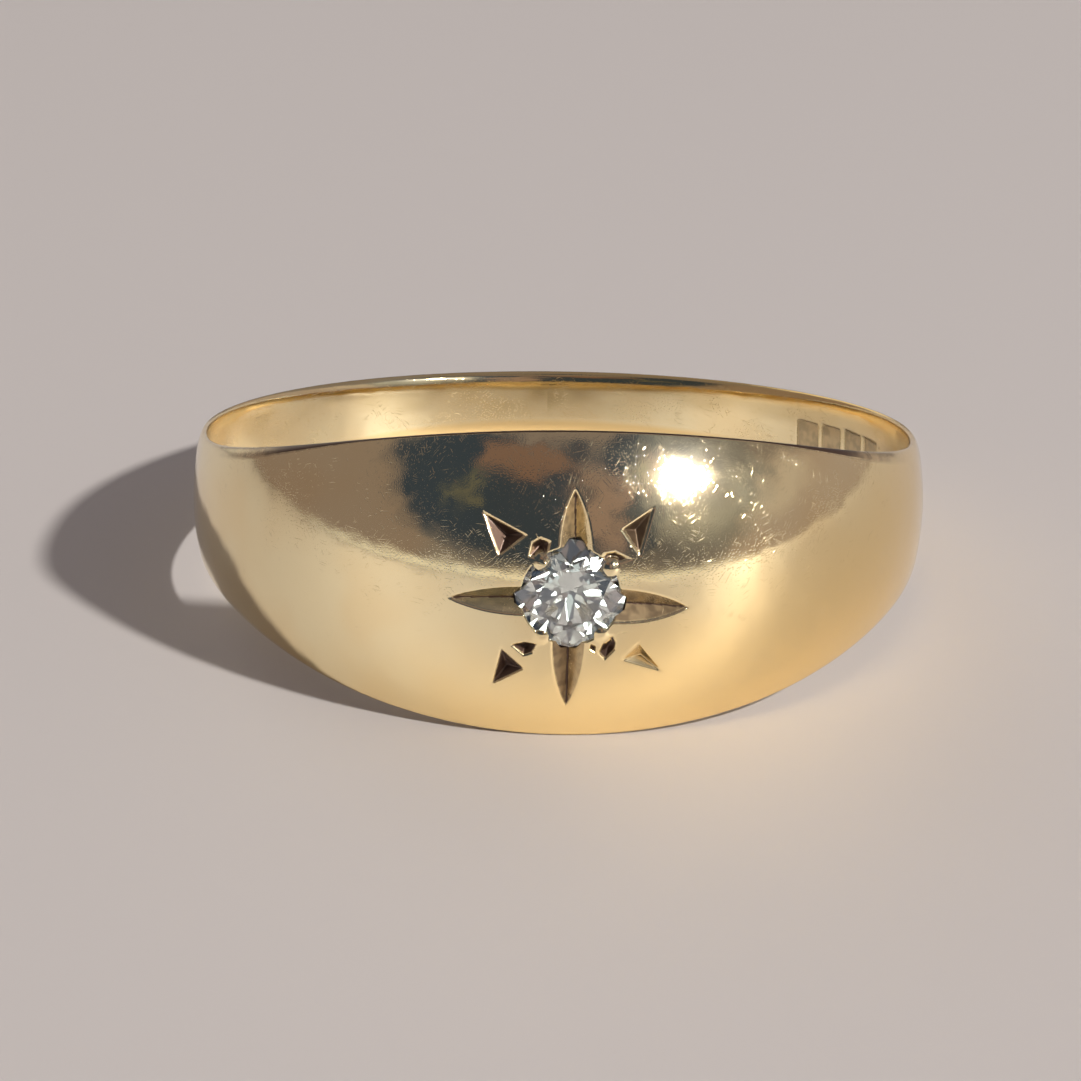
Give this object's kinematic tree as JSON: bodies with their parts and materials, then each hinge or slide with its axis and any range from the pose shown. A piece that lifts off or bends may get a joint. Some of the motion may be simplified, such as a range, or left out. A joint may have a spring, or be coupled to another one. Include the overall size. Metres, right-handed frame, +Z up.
{
  "type": "flush set gypsy ring",
  "caption": "Domed gold finger ring that narrows to the back, with a round brilliant let flush into its front inside a cut star",
  "frame": {"origin": "on the surface the ring lies on, under the middle of its box", "axes": "+Z up off that surface, near the way the finger leaves; -Y the front with the stone; X across the ring"},
  "size_m": [0.0194, 0.0208, 0.0079],
  "materials": {
    "gold": "polished 18 carat yellow gold, worn soft with fine scratches",
    "diamond": "cut and polished colourless stone"
  },
  "bodies": {
    "root": {"band": "gold", "stone": "diamond"}
  },
  "joints": []
}
